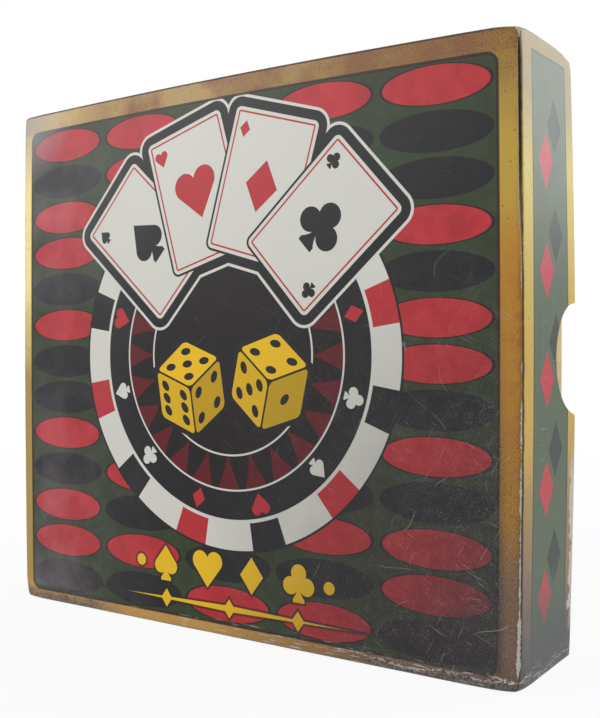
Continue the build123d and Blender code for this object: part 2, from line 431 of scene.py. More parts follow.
def print_ovals(s, inks, look, u, v, panel, colour):
    """Rows of red and black ovals inside the panel, the red ones outlined."""
    pitch_u = PANEL_WIDTH / look.oval_columns
    pitch_v = PANEL_HEIGHT / look.oval_rows
    from_first_u = u - (PANEL_LEFT + pitch_u / 2)
    from_first_v = v - (PANEL_BOTTOM + pitch_v / 2)
    off_u = from_first_u.wrapped(pitch_u)
    off_v = from_first_v.wrapped(pitch_v)
    column = (from_first_u - off_u) / pitch_u
    row = (from_first_v - off_v) / pitch_v
    half_u = look.oval_width / MM / 2
    half_v = look.oval_height / MM / 2
    rim = s.reach(off_u / half_u, off_v / half_v)
    red = s.maths("FRACT", column * 0.27 + row * 0.382 + 0.13) > 0.5
    fill = s.mix(red, inks["black"], inks["red"])
    fill = s.mix(rim.between(0.93, 0.955) * red, fill, inks["dark line"])
    return s.mix(rim.between(1.01, 0.99) * panel, colour, fill)


def print_medallion(s, inks, look, u, v, colour):
    """A big casino chip: blocks round its edge, a band of suits, and rays round a black middle."""
    radius = look.medallion_radius / MM
    band_out, band_in, rays_in = radius - 9.0, radius - 18.6, radius - 29.5
    dv = v - look.medallion_up / MM
    out = s.reach(u, dv)
    turn = s.maths("ARCTAN2", u, dv)
    share = TWO_PI / 12
    suit_size, outline = 6.6, 0.7

    ray_reach = (out - rays_in) / (band_in - rays_in)
    ray = s.ink((abs(turn.wrapped(share / 2)) - ray_reach * (share * 0.2)) * out)
    disc = s.mix(ray * s.ink(rays_in - out), inks["deep black"], inks["deep red"])
    disc = s.mix(s.ink(band_in - out), disc, inks["black"])
    mark_up = out - (band_out + band_in) / 2
    for place, suit in enumerate(SUITS):
        along = (turn - (place + 0.5) * share).wrapped(4 * share) * out
        suit_ink = inks["red"] if suit in (heart, diamond) else inks["cream"]
        disc = s.mix(s.ink(suit(s, along, mark_up, suit_size)), disc, suit_ink)

    red = abs((turn - share / 2).wrapped(2 * share)) < share / 2
    block = s.mix(red, inks["black"], inks["red"])
    pale = s.ink((abs(turn.wrapped(share)) - share * 0.3) * out)
    block = s.mix(pale, block, inks["cream"])
    disc = s.mix(s.ink(band_out - out), disc, block)
    for ring, width in ((band_out, 1.1), (band_in, 0.6), (rays_in, 0.6)):
        disc = s.mix(s.line(out - ring, width), disc, inks["cream"])
    colour = s.mix(s.ink(out - radius - outline), colour, inks["black"])
    return s.mix(s.ink(out - radius), colour, disc)


def print_fan(s, inks, look, u, v, colour):
    """Four playing cards fanned out, one of each suit, in a black and cream surround."""
    half_w, half_h = look.card_width / MM / 2, look.card_height / MM / 2
    pivot_v = look.medallion_up / MM + 7.0
    arm, corner_r, outline = 46.0, 2.6, 0.75
    cream_surround, black_surround = 3.1, 2.2
    frame_inset, frame_width = 2.1, 0.55
    small_suit, small_x, small_y, big_suit = 5.2, half_w - 5.6, half_h - 7.2, 16.0
    cards = []
    for place in range(len(SUITS)):
        lean = (place - (len(SUITS) - 1) / 2) * look.fan_angle
        x, y = turned(u, v - pivot_v, lean)
        y = y - arm
        cards.append((x, y, rounded_box(s, x, y, half_w, half_h, corner_r)))
    around = cards[0][2]
    for card in cards[1:]:
        around = around.least(card[2])
    colour = s.mix(s.ink(around - cream_surround), colour, inks["cream"])
    colour = s.mix(s.ink(around - black_surround), colour, inks["black"])
    for suit, (x, y, edge) in zip(SUITS, cards):
        suit_ink = inks["red"] if suit in (heart, diamond) else inks["black"]
        face = s.mix(s.line(edge + frame_inset, frame_width), inks["cream"], inks["red"])
        flip = s.maths("SIGN", y)
        corner = suit(s, x * flip + small_x, abs(y) - small_y, small_suit)
        face = s.mix(s.ink(corner), face, suit_ink)
        face = s.mix(s.ink(suit(s, x, y, big_suit)), face, suit_ink)
        face = s.mix(s.ink(-outline - edge), face, inks["black"])
        colour = s.mix(s.ink(edge), colour, face)
    return colour


def die_face(s, inks, x, y, edge_a, edge_b, count, light, colour):
    """One face of a printed die, laid along two edges from its near corner, with its pips."""
    pip_out, pip_r, face_half, face_corner = 0.26, 0.105, 0.475, 0.1
    turn = edge_a[0] * edge_b[1] - edge_a[1] * edge_b[0]
    a = x * (edge_b[1] / turn) - y * (edge_b[0] / turn) - 0.5
    b = y * (edge_a[0] / turn) - x * (edge_a[1] / turn) - 0.5
    side_a, side_b = abs(a), abs(b)
    scale = math.hypot(*edge_a)
    spots = s.reach(side_a - pip_out, side_b - pip_out)
    if count == 6:
        spots = spots.least(s.reach(side_a - pip_out, b))
    if count == 5:
        spots = spots.least(s.reach(a, b))
    if count == 1:
        spots = s.reach(a, b)
    face = s.mix(s.ink((spots - pip_r) * scale), s.scaled(inks["yellow"], light), inks["black"])
    edge = rounded_box(s, a, b, face_half, face_half, face_corner)
    return s.mix(s.ink(edge * scale), colour, face)


def print_die(s, inks, x, y, edge, counts, colour):
    """A die seen from its corner: three faces in a dark hexagon."""
    outline = 1.3
    wide, rise = edge * math.cos(math.radians(30)), edge / 2
    skew = abs(y * 0.866) + abs(x) * 0.5
    hexagon = abs(x).most(skew) - wide
    colour = s.mix(s.ink(hexagon - outline), colour, inks["black"])
    up_left, up_right, down = (-wide, rise), (wide, rise), (0, -edge)
    top, left, right = counts
    colour = die_face(s, inks, x, y, up_right, up_left, top, 1.0, colour)
    colour = die_face(s, inks, x, y, up_left, down, left, 0.84, colour)
    return die_face(s, inks, x, y, down, up_right, right, 0.62, colour)


def print_dice(s, inks, look, u, v, colour):
    """A pair of dice in the lower half of the medallion."""
    middle = look.medallion_up / MM
    edge = look.die_edge / MM
    for across, up, lean, counts in ((-15.5, -10.5, -9, (5, 6, 4)), (15.5, -8.0, 12, (4, 5, 1))):
        x, y = turned(u - across, v - middle - up, math.radians(lean))
        colour = print_die(s, inks, x, y, edge, counts, colour)
    return colour


def print_ornament(s, inks, u, v, colour):
    """A row of yellow suits between two dots, over a tapered rule with three lozenges."""
    size, pitch, row_up = 11.5, 17.5, 20.3
    rule_up, rule_half, rule_taper = 9.0, 43.0, 0.022
    star_size, star_pitch, dot_out, dot_r, outline = 6.0, 26.0, 37.0, 1.9, 0.75
    marks = None
    for place, suit in enumerate(SUITS):
        x = u - (place - (len(SUITS) - 1) / 2) * pitch
        mark = suit(s, x, v - row_up, size)
        marks = mark if marks is None else marks.least(mark)
    side = abs(u)
    rule = abs(v - rule_up) - (rule_half - side) * rule_taper
    stars = diamond(s, side.wrapped(star_pitch), v - rule_up, star_size)
    dots = s.reach(side - dot_out, v - row_up) - dot_r
    marks = marks.least(rule).least(stars.most(side - rule_half)).least(dots)
    colour = s.mix(s.ink(marks - outline) * 0.75, colour, inks["black"])
    return s.mix(s.ink(marks), colour, inks["yellow"])


def unbend(s, wear):
    """Takes the lid's bows out of a surface's x and z, so that its print follows the bent board."""
    across, up, ahead = s.x / HALF_WIDTH, s.z / HEIGHT, (RIM - s.y) / DEPTH
    fold_bow, rim_bow = wear.fold_bow / MM, wear.rim_bow / MM
    bow = across * s.maths("SINE", up * math.pi) * (rim_bow - ahead * (rim_bow - fold_bow))
    right = across.most(0)
    lean = right * right * right * ahead * ahead * (wear.fold_lean / MM)
    side, back = across * across, 1 - ahead
    rise = side * side * ahead * back * back * back * (SHOULDER_RISE * wear.shoulder_bow / MM)
    s.z = s.z - up * (s.maths("COSINE", across * (math.pi / 2)) * (wear.top_bow / MM) + rise)
    s.x = s.x - bow - lean


class LidPlace:
    """Where a point of the lid's skin lies, and the noises that its stains and wear share."""

    def __init__(self, s):
        self.from_front = s.y - FRONT
        self.from_side = HALF_WIDTH - abs(s.x)
        self.from_top = HEIGHT - s.z
        self.from_end = s.z.least(self.from_top)
        self.on_front = s.ink(self.from_front - self.from_side.least(self.from_end), 0.06)
        self.on_flank = s.ink(self.from_side - self.from_end, 0.06)
        self.from_upright = self.from_front.most(self.from_side)
        self.cloud = s.noise(18, 5.0, 0.62)
        self.patch = s.noise(5.0, 5.0, 0.62)
        self.fine = s.noise(0.7, 3.0, 0.6)
        self.right = s.x.between(-10, 85)
        self.low = s.z.between(114, 15)
        self.upper = s.z.between(96, 132)


def print_front(s, inks, look, place, border):
    """The whole front: gold border, green panel and everything on it."""
    u, v = s.x, s.z
    panel = rounded_box(
        s, u - PANEL_MID[0], v - PANEL_MID[1], PANEL_WIDTH / 2, PANEL_HEIGHT / 2, PANEL_CORNER_R
    )
    inside = s.ink(panel)
    colour = s.mix(inside, border, inks["green"])
    colour = print_ovals(s, inks, look, u, v, inside, colour)
    tone = place.cloud * 0.8 + place.patch * 0.7 + 0.25
    colour = s.mix(inside, colour, s.scaled(colour, tone))
    colour = print_medallion(s, inks, look, u, v, colour)
    colour = print_dice(s, inks, look, u, v, colour)
    colour = print_fan(s, inks, look, u, v, colour)
    colour = print_ornament(s, inks, u, v, colour)
    return s.mix(s.line(panel, 0.8) * 0.9, colour, inks["dark line"])


def print_flank(s, inks, place, border):
    """A side wall: gold borders round a green panel with pairs of lozenges, and painted shade along its front
    fold.
    """
    back = place.from_front
    along = place.on_flank * (FLANK_MIDDLE - s.z) + (1 - place.on_flank) * s.x
    half_length = place.on_flank * (HEIGHT / 2 - HALF_WIDTH) + HALF_WIDTH
    width = FLANK_FAR - FLANK_NEAR
    panel = (abs(back - (FLANK_NEAR + FLANK_FAR) / 2) - width / 2).most(abs(along) - half_length + FLANK_END)
    colour = s.mix(s.ink(panel), border, inks["flank green"])
    for from_front, shift, ink in (
        (LOZENGE_BLACK_BACK, -LOZENGE_STAGGER, "flank black"),
        (LOZENGE_RED_BACK, LOZENGE_STAGGER, "flank red"),
    ):
        tall = (along - shift).wrapped(LOZENGE_PITCH)
        lozenge = abs(back - from_front) / LOZENGE_HALF[0] + abs(tall) / LOZENGE_HALF[1] - 1
        shown = s.ink(lozenge * 4.4) * (abs(along) < 2.5 * LOZENGE_PITCH)
        colour = s.mix(shown, colour, inks[ink])
    colour = s.mix(s.line(panel, 0.7) * 0.85, colour, inks["dark line"])
    # A dark strip along the front fold is painted shade, darkest high up
    ragged = back - 1.1 + place.upper * 0.5 - (place.patch - 0.5) * 1.1
    fold_shade_strip = s.mix(place.upper, shade(72, 60, 46), shade(*PAINTED_FOLD_SHADE))
    return s.mix(s.ink(ragged, 0.3) * 0.95, colour, fold_shade_strip)


def stained_border(s, inks, place):
    """Printed gold, cloudy and stained: ochre on the right and rusty at its foot, with a painted highlight
    making it pale on the upper left.
    """
    grain = s.noise(0.5, 3.0, 0.75)
    height = s.z + (place.cloud - 0.5) * 30
    left, right = 1 - place.right, place.right * place.on_front
    # The upper left of the border is lighter: a painted highlight
    pale, left_foot = height.between(78, 115) * left, s.z.between(9, 4) * left * 0.6
    colour = s.layered(inks["gold"], (pale, (252, 228, 152)), (left_foot, (212, 160, 88)))
    ochre = s.mix(height.between(138, 108), shade(192, 158, 66), inks["orange"])
    colour = s.mix(right, colour, ochre)
    near_fold = s.x.between(87, 93) * s.z.between(45, 70) * s.z.between(128, 108)
    near_fold = near_fold * place.patch.between(0.4, 0.6)
    top = place.from_top.between(8.5, 6.5).most(right * s.z.between(146, 164) * 0.7) * place.on_front
    top = top * (place.cloud.between(0.62, 0.42) * 0.3 + 0.7) * (s.x.between(-85, -40) * 0.6 + 0.4)
    colour = s.layered(colour, (near_fold * 0.7, (176, 108, 36)), (top, (142, 98, 60)))
    bright = s.mix(height.between(85, 125), shade(216, 176, 70), inks["bright gold"])
    dull_top, dull_low = s.z.between(140, 160), height.between(68, 48)
    bright = s.layered(bright, (dull_top, (158, 138, 84)), (dull_low, (170, 140, 84)))
    colour = s.mix(place.on_front, bright, colour)
    low = height.between(46, 26) * place.right
    colour = s.mix(low * (place.patch * 0.6 + 0.6), colour, inks["rust"])
    speckled = (s.z + (place.patch - 0.5) * 40).between(85, 50).most(s.z.between(152, 166) * 0.7)
    dense = speckled * right * 0.55 + s.z.between(160, 168) * place.on_front * 0.14 + 0.08
    marks = s.specks(2.6, 0.26) * place.cloud.between(0.46, 0.52) * 0.7
    return s.mix((grain.between(0.48, 0.60) * dense).most(marks), colour, inks["brown"])


def dirt(s, place, wear, colour):
    """Dark dirt and painted light: a dull lower right, a blackened front foot and side walls darker towards
    their foot, with painted shade along the folds and a pale painted reflection on the upper left.
    """
    inside = place.from_side.least(place.from_end).between(4.0, 6.0)
    # A pale haze over the upper left of the front is a painted reflection of light
    painted_haze = (place.cloud.between(0.42, 0.66) * 0.7 + 0.3) * s.x.between(-30, -75) * inside
    painted_haze = painted_haze * (abs(s.z - 85) * 0.003 + 0.06) * (s.z.between(165, 140) * 0.7 + 0.3)
    # The same painted reflection lies over the top left corner
    corner = s.reach(s.x + HALF_WIDTH, place.from_top).between(28, 4) * place.on_front * 0.75
    dull = place.right * place.low * place.on_front * (place.cloud * 0.8 + 0.5) * (inside * 0.6 + 0.4)
    dull = dull * 0.92 * wear.grime
    colour = s.layered(colour, (painted_haze.most(corner), (164, 156, 162)), (dull, (57, 53, 56)))
    outer = abs(s.x + 4).between(40, 58)
    foot = (s.z + (place.patch - 0.5) * 7).between(5.0, 2.0) * (outer * 0.88 + 0.06)
    soot = s.mix(place.fine.between(0.35, 0.65), shade(48, 44, 48), shade(132, 122, 120))
    colour = s.mix(foot * place.on_front * wear.grime * 0.9, colour, soot)
    flank_foot = (s.z + (place.cloud - 0.5) * 22).between(30, 7) * (1 - place.on_front)
    flank_foot = flank_foot * wear.grime * 0.9
    # Dark lines along the top fold and beside the upright folds are painted shade
    top_fold_shade = place.from_top.between(1.1, 0.7) * place.on_front
    edge = place.from_upright.between(2.0, 0.0) * place.patch.between(0.35, 0.6) * 0.5
    edges = top_fold_shade.most(edge) * 0.85
    return s.layered(colour, (flank_foot, (70, 73, 74)), (edges, (56, 40, 32)))


def scratched(s, place):
    """Fine scratches and white speckle, thickest low on the right."""
    zone = place.right * s.z.between(130, 60) * 0.9 + 0.1
    curves = abs((s.noise(46, 1.0) * 7).wrapped(1.0)).between(0.010, 0.003)
    curves = curves * s.noise(13, 1.0).between(0.55, 0.61) * 0.5
    rising = s.streaks(-62, 11, 0.3).between(0.70, 0.76)
    falling = s.streaks(28, 8, 0.3).between(0.71, 0.77)
    strokes = rising.most(falling) * place.cloud.between(0.44, 0.56)
    dust = s.noise(0.32, 2.0, 0.8).between(0.54, 0.72) * place.patch.between(0.34, 0.62)
    return curves.most(strokes * 0.5).most(dust * 0.45) * zone


def open_fold(s, place):
    """Where the paper has split along the upper right fold; its dark gap is painted shade, not cut into the
    mesh.
    """
    gap = s.ink(place.from_side - place.upper * 1.05 - (place.patch - 0.5) * 0.5, 0.25)
    return gap * place.on_front * s.x.between(80, 90) * place.upper.between(0.0, 0.2)


def rubbed_bare(s, place, wear, gap):
    """Where the print is rubbed or peeled down to white paper."""
    ragged = (place.patch - 0.5) * 1.3 + (place.fine - 0.5) * 0.7
    fold_width = s.z.between(98, 70) * 0.40 + s.x.between(0, 90) * 0.2 - 0.20
    fold_width = fold_width + s.z.between(24, 8) * s.x.between(60, 90) * 0.5
    fold_width = fold_width + place.on_front * s.x.between(80, 90) * (place.upper * 0.9 + 0.3)
    folds = s.ink(place.from_upright - (fold_width + ragged) * wear.rubbing, 0.2)
    folds = folds * (1 - place.upper * 0.6) * (1 - gap)
    scuff_line = abs(s.z - 2.6 - (place.cloud - 0.5) * 7) - 0.15 - ragged * 0.5
    scuffs = s.ink(scuff_line, 0.3) * place.fine.between(0.42, 0.52) * s.x.between(0, 60)
    thin = s.streaks(0, 7, 0.45).between(0.63, 0.69) * (s.z + (place.patch - 0.5) * 5).between(6.0, 4.0)
    scuffs = scuffs.most(thin * s.x.between(-70, -10))
    fork = s.line(s.z - 3.6 - (place.patch - 0.5) * 5, 0.6) * place.from_upright.between(10, 5)
    scuffs = scuffs.most(fork * place.fine.between(0.40, 0.50) * s.x.between(60, 80) * 1.3)
    tear_side = place.from_upright - (5.0 - place.from_top) * 0.36 - (place.fine - 0.5) * 0.8
    tear = s.line(tear_side, 0.5) * place.from_top.between(5.2, 4.8) * s.x.between(60, 80)
    peel_height = (s.z + (place.patch - 0.5) * 20).between(8, 14) * s.z.between(64, 52)
    peel_edge = RIM - s.y - (place.patch - 0.28) * 12
    peel = s.ink(peel_edge, 0.3) * peel_height * s.x.between(80, 90) * (1 - place.on_front)
    return folds.most(scuffs * 0.7).most(tear).most(peel)


def worn_print(look, wear):
    """Printed and laminated paper of the lid, rubbed at its folds and dirty near the bottom, with painted
    shade along its folds and a painted reflection on its upper left.
    """
    s = Surface("printed_paper")
    named = ("green", "red", "black", "cream", "yellow", "gold", "brown")
    inks = {name: linear(getattr(look, name)) for name in named}
    inks.update((name, shade(*rgb)) for name, rgb in FIXED_INKS.items())
    unbend(s, wear)
    place = LidPlace(s)
    inks["flank green"] = s.scaled(shade(79, 97, 73), place.patch * 0.3 + 0.85)
    border = stained_border(s, inks, place)
    flank = print_flank(s, inks, place, border)
    front = print_front(s, inks, look, place, border)
    colour = s.mix(place.on_front, flank, front)
    colour = dirt(s, place, wear, colour)
    pale = scratched(s, place)
    colour = s.mix(pale, colour, shade(176, 172, 166))
    gap = open_fold(s, place)
    # The split is painted shade: dark at its top, turning mauve lower down
    colour = s.mix(gap, colour, s.mix(s.z.between(140, 126), shade(*PAINTED_FOLD_SHADE), shade(116, 92, 94)))
    bare = rubbed_bare(s, place, wear, gap)
    colour = s.mix(bare * 0.92, colour, s.scaled(shade(*PAPER_WHITE), place.fine * 0.4 + 0.76))
    relief = place.fine * 0.25 + place.patch * 0.35 - bare * 0.6 - pale * 0.3
    roughness = (place.patch * 0.12 + 0.33 + bare * 0.4 + pale * 0.2).least(0.95)
    return s.shiny(Base_Color=colour, Roughness=roughness, Normal=s.bump(relief, 0.05, 0.6), IOR=1.28)


def plain_paper(name, rgb, roughness):
    """Plain paper or tape: cloudy tone, fibres and a few brown spots."""
    s = Surface(name)
    cloud = s.noise(22, 5.0, 0.6)
    fibre = s.noise(0.45, 3.0, 0.65)
    colour = s.scaled(linear(rgb), cloud * 0.22 + fibre * 0.14 + 0.82)
    spots = s.specks(5.5, 0.2) * cloud.between(0.48, 0.6)
    colour = s.mix(spots * 0.35, colour, shade(60, 44, 34))
    rough = fibre * 0.1 + (roughness - 0.05)
    return s.shiny(Base_Color=colour, Roughness=rough, Normal=s.bump(fibre + cloud, 0.02, 0.5))


def gold_paper(rgb):
    """Gold paper of the base: satin, cloudy, darker with handling and rubbed pale along its edges."""
    s = Surface("gold_paper")
    cloud = s.noise(26, 5.0, 0.6)
    patch = s.noise(4.0, 5.0, 0.65)
    fibre = s.noise(0.4, 3.0, 0.65)
    side = BASE_HIGH.x - abs(s.x)
    end = (s.z - BASE_LOW.z).least(BASE_HIGH.z - s.z)
    back = BASE_HIGH.y - s.y
    from_edge = side.least(end).most(side.most(end).least(back))
    colour = s.scaled(linear(rgb), cloud * 0.3 + fibre * 0.12 + 0.80)
    handled = from_edge.between(14, 1) * patch.between(0.40, 0.62) * cloud.between(0.42, 0.62) * 0.4
    colour = s.mix(handled, colour, shade(142, 108, 62))
    marks = s.specks(7.0, 0.3) * cloud.between(0.50, 0.56) * 0.5
    colour = s.mix(marks, colour, shade(96, 70, 46))
    rubs = s.streaks(18, 16, 0.35).between(0.69, 0.74) * patch.between(0.48, 0.58) * 0.35
    bare = s.ink(from_edge - (patch - 0.47) * 3.2, 0.3)
    colour = s.mix(bare.most(rubs), colour, shade(226, 214, 190))
    rough = patch * 0.14 + bare * 0.3 + 0.34
    relief = fibre + cloud - bare * 1.5
    return s.shiny(Base_Color=colour, Roughness=rough, Metallic=0.25, Normal=s.bump(relief, 0.02, 0.5))


def greyboard():
    """Grey pulp board with pale fibres, dark flecks and faint layers along its cut edges."""
    s = Surface("greyboard")
    cloud = s.noise(3.0, 5.0, 0.7)
    fibre = s.noise(0.35, 4.0, 0.7)
    colour = s.mix(cloud.between(0.35, 0.7), shade(138, 132, 121), shade(176, 170, 158))
    colour = s.scaled(colour, fibre * 0.4 + 0.78)
    colour = s.mix(s.specks(1.3, 0.12) * 0.6, colour, shade(70, 64, 58))
    return s.shiny(Base_Color=colour, Roughness=0.92, Normal=s.bump(fibre + cloud, 0.12, 0.8))


def foam():
    """Fine-celled black polyethylene foam."""
    s = Surface("black_foam")
    sockets = {"Vector": s.place, "Scale": 1 / 0.8}
    cells = Field(s, s.add("ShaderNodeTexVoronoi", {"feature": "F1"}, sockets).outputs["Distance"])
    cloud = s.noise(14, 4.0, 0.6)
    fine = s.noise(0.3, 2.0, 0.6)
    colour = s.scaled(shade(48, 48, 52), cells.between(0.1, 0.7) * 0.5 + cloud * 0.35 + 0.5)
    lint = s.streaks(40, 3.2, 0.22).between(0.72, 0.76) * s.noise(7, 2.0).between(0.56, 0.62)
    colour = s.mix(lint * 0.35, colour, shade(150, 146, 140))
    rough = cells * 0.1 + 0.84
    relief = cells.between(0.05, 0.6) + fine * 0.3
    return s.shiny(Base_Color=colour, Roughness=rough, Normal=s.bump(relief, 0.18, 0.9))


def gold_metal(name, metal, brushed=0.0, sunk_below=None):
    """Gold plating: satin, brushed along the box's width if asked, frosted where it is sunk."""
    s = Surface(name)
    cloud = s.noise(9, 4.0, 0.6)
    fine = s.noise(0.25, 3.0, 0.6)
    hairs = s.streaks(0, 22, 0.16)
    plating = linear(metal.plating)
    colour = s.scaled(plating, cloud * 0.14 + 0.9)
    rough = cloud * 0.1 + hairs * (0.16 * brushed) + 0.2
    relief = hairs * brushed + fine * 0.25
    if sunk_below is not None:
        sunk = s.y.between(sunk_below - 0.05, sunk_below + 0.05)
        colour = s.mix(sunk * 0.6, colour, s.scaled(plating, 0.62))
        rough = rough + sunk * 0.28
        relief = relief + s.noise(0.5, 2.0) * sunk * 1.4
    return s.shiny(Base_Color=colour, Roughness=rough, Metallic=1.0, Normal=s.bump(relief, 0.03, 0.5))


def enamel(name, rgb):
    """Hard glossy enamel with a faint orange-peel skin and dust-fine pits."""
    s = Surface(name)
    cloud = s.noise(3.5, 3.0)
    colour = s.scaled(linear(rgb), cloud * 0.5 + 0.8)
    rough = s.noise(1.2, 4.0, 0.7) * 0.14 + 0.1
    normal = s.bump(cloud, 0.03, 0.4)
    return s.shiny(Base_Color=colour, Roughness=rough, Normal=normal, Coat_Weight=0.4, Coat_Roughness=0.06)


# Meshes


WELD = 2e-6
SHARP = math.radians(50)

# Cuts that let a wall bend: close ones beside its folds, and the steps between the others
BESIDE_FOLD = (0.35, 0.9, 1.8, 3.2, 5.5)
BESIDE_BASE_FOLD = (3.0,)
CUT_STEP = 8.0
DEPTH_CUT_STEP = 5.75
DEPTH_CUTS = 5

# How far crushing reaches from a fold or a corner, and how wide the dents in it are
FOLD_REACH = 5.0
CORNER_REACH = 12.0
RIM_CORNER_REACH = 6.0
DENT_WIDTH = 11

# Share of the crush at the lower and the upper front corner, and how it moves a corner
CRUSH_RIGHT = (1.0, 0.55)
CRUSH_LEFT = (0.4, 0.15)
CORNER_PUSH = 0.8
CORNER_LIFT = 0.12

# How far the middle of the front bulges out
FRONT_BULGE = 0.3

# Skin further in than this from the outside of the lid is the turned-in paper
SKIN_DEPTH = 1.4

# Foam: its cuts, the rounding of its cut edges and how uneven its face is
BESIDE_FOAM_EDGE = (1.5, 3.5)
FOAM_CUT_STEP = 7.0
FOAM_ROUNDING = 0.45
FOAM_UNEVEN = 0.12


def welded(node):
    """A copy of a packed piece's mesh with its split corners joined."""
    bm = bmesh.new()
    bm.from_mesh(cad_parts[node].data)
    bmesh.ops.remove_doubles(bm, verts=bm.verts, dist=WELD)
    return bm


def slice_mesh(bm, axis, places_mm):
    """Cuts a mesh by planes square to an axis, so that it can bend there."""
    normal = Vector([float(i == axis) for i in range(3)])
    for place in places_mm:
        everything = bm.verts[:] + bm.edges[:] + bm.faces[:]
        where = normal * place * MM
        bmesh.ops.bisect_plane(bm, geom=everything, dist=WELD / 4, plane_co=where, plane_no=normal)


def slice_places(low, high, step, near_ends):
    """Evenly spaced cuts from low to high, with closer ones near both ends."""
    count = round((high - low) / step)
    even = [low + (high - low) * i / count for i in range(1, count)]
    even = [place for place in even if near_ends[-1] < place - low and near_ends[-1] < high - place]
    return [low + d for d in near_ends] + even + [high - d for d in reversed(near_ends)]


def add_piece(name, mesh, body, slot, materials):
    """Links a mesh to the scene as a piece that rides on a body."""
    piece = bpy.data.objects.new(name, mesh)
    bpy.context.scene.collection.objects.link(piece)
    for material in materials:
        mesh.materials.append(material)
    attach(piece, body)
    return piece


def mesh_from(bm, name):
    """Turns a bmesh into a smooth-shaded mesh with its sharp edges marked."""
    mesh = bpy.data.meshes.new(name)
    bm.to_mesh(mesh)
    bm.free()
    if "custom_normal" in mesh.attributes:
        mesh.attributes.remove(mesh.attributes["custom_normal"])
    mesh.materials.clear()
    mesh.shade_smooth()
    mesh.set_sharp_from_angle(angle=SHARP)
    return mesh


def faded(distance, reach):
    """1 at no distance and 0 from a reach onwards, falling fastest at first."""
    return np.clip(1 - distance / reach, 0, 1) ** 2


def settle(mesh, wear):
    """Bends a part of the lid as use has: walls bowed, one fold leaned, folds and corners crushed."""
    count = len(mesh.vertices)
    places = np.empty(count * 3, np.float32)
    mesh.vertices.foreach_get("co", places)
    points = places.reshape(-1, 3).astype(float) / MM
    x, y, z = points.T
    across, up, back = x / HALF_WIDTH, z / HEIGHT, (y - FRONT) / DEPTH
    hump_z = np.sin(math.pi * np.clip(up, 0, 1))
    hump_x = np.cos(math.pi / 2 * np.clip(across, -1, 1))
    fold_bow, rim_bow, top_bow = wear.fold_bow / MM, wear.rim_bow / MM, wear.top_bow / MM
    move = np.zeros_like(points)
    move[:, 0] += across * hump_z * (fold_bow + back * (rim_bow - fold_bow))
    move[:, 0] += wear.fold_lean / MM * np.clip(across, 0, 1) ** 3 * (1 - np.clip(back, 0, 1)) ** 2
    move[:, 2] += up * hump_x * top_bow
    move[:, 2] += up * across ** 4 * back ** 3 * (1 - back) * SHOULDER_RISE * (wear.shoulder_bow / MM)
    move[:, 1] -= FRONT_BULGE * hump_z * hump_x * (1 - np.clip(back, 0, 1))

    dents = np.array([noise.noise(Vector(point) / DENT_WIDTH) for point in points])
    front, side, bottom, top = y - FRONT, HALF_WIDTH - np.abs(x), z, HEIGHT - z
    inward = {"front": (0, 1, 0), "bottom": (0, 0, 1), "top": (0, 0, -1)}
    gaps = {"front": front, "side": side, "bottom": bottom, "top": top}
    crush = wear.crush / MM
    folds = [
        ("front", "bottom", crush), ("side", "bottom", crush), ("front", "side", crush),
        ("front", "top", crush * 0.5), ("side", "top", crush * 0.5),
    ]
    for first, second, depth in folds:
        push = faded(gaps[first] + gaps[second], FOLD_REACH) * depth * (1 + 0.9 * dents)
        for plane in (first, second):
            if plane == "side":
                move[:, 0] -= np.sign(x) * push
            else:
                move += push[:, None] * np.array(inward[plane])
    low = bottom < top
    corner = faded(front + side + np.minimum(bottom, top), CORNER_REACH) * wear.corner_crush / MM
    corner *= np.where(x > 0, np.where(low, *CRUSH_RIGHT), np.where(low, *CRUSH_LEFT))
    move[:, 0] -= np.sign(x) * corner * CORNER_PUSH
    move[:, 1] += corner * CORNER_PUSH
    move[:, 2] += corner * np.where(low, CORNER_LIFT, -CORNER_PUSH)
    rim_corner = faded(side + top, RIM_CORNER_REACH) * np.clip(back, 0, 1) ** 3
    rim_corner = rim_corner * wear.rim_corner_crush / MM
    move[:, 0] -= np.sign(x) * rim_corner
    move[:, 2] -= rim_corner
    points = (points + move) * MM
    mesh.vertices.foreach_set("co", points.astype(np.float32).ravel())
    mesh.update()


def lid_part(node, name, slot, materials, wear):
    """A sliced and settled copy of one of the lid's parts."""
    bm = welded(node)
    slice_mesh(bm, 0, slice_places(-HALF_WIDTH, HALF_WIDTH, CUT_STEP, BESIDE_FOLD))
    slice_mesh(bm, 2, slice_places(0.0, HEIGHT, CUT_STEP, BESIDE_FOLD))
    behind = [FRONT + BESIDE_FOLD[-1] + DEPTH_CUT_STEP * i for i in range(1, DEPTH_CUTS + 1)]
    slice_mesh(bm, 1, [FRONT + d for d in BESIDE_FOLD] + behind)
    mesh = mesh_from(bm, name)
    settle(mesh, wear)
    piece = add_piece(name, mesh, "lid", slot, materials)
    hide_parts(node)
    return piece


def weighted(piece):
    """Keeps flat faces flat beside narrow bevels."""
    piece.modifiers.new("flat faces", "WEIGHTED_NORMAL").keep_sharp = True
    return piece


def paint(node, material):
    """Gives a packed piece its finish."""
    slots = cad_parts[node].data.materials
    slots.clear()
    slots.append(material)


def soften(node, width_mm, segments=2):
    """Rounds the sharp edges of a packed piece without changing its mesh."""
    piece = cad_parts[node]
    piece.modifiers.new("joined corners", "WELD").merge_threshold = WELD
    bevel = piece.modifiers.new("soft edges", "BEVEL")
    bevel.width = width_mm * MM
    bevel.segments = segments
    bevel.limit_method = "ANGLE"
    bevel.angle_limit = math.radians(35)
    bevel.use_clamp_overlap = True
    piece.modifiers.new("flat faces", "WEIGHTED_NORMAL")


def inside_lid(polygon):
    """True on the paper turned in over the rim, which faces the base."""
    centre = polygon.center / MM
    gap = min(HALF_WIDTH - abs(centre.x), HEIGHT - centre.z, centre.z)
    return gap > SKIN_DEPTH and centre.y - FRONT > SKIN_DEPTH


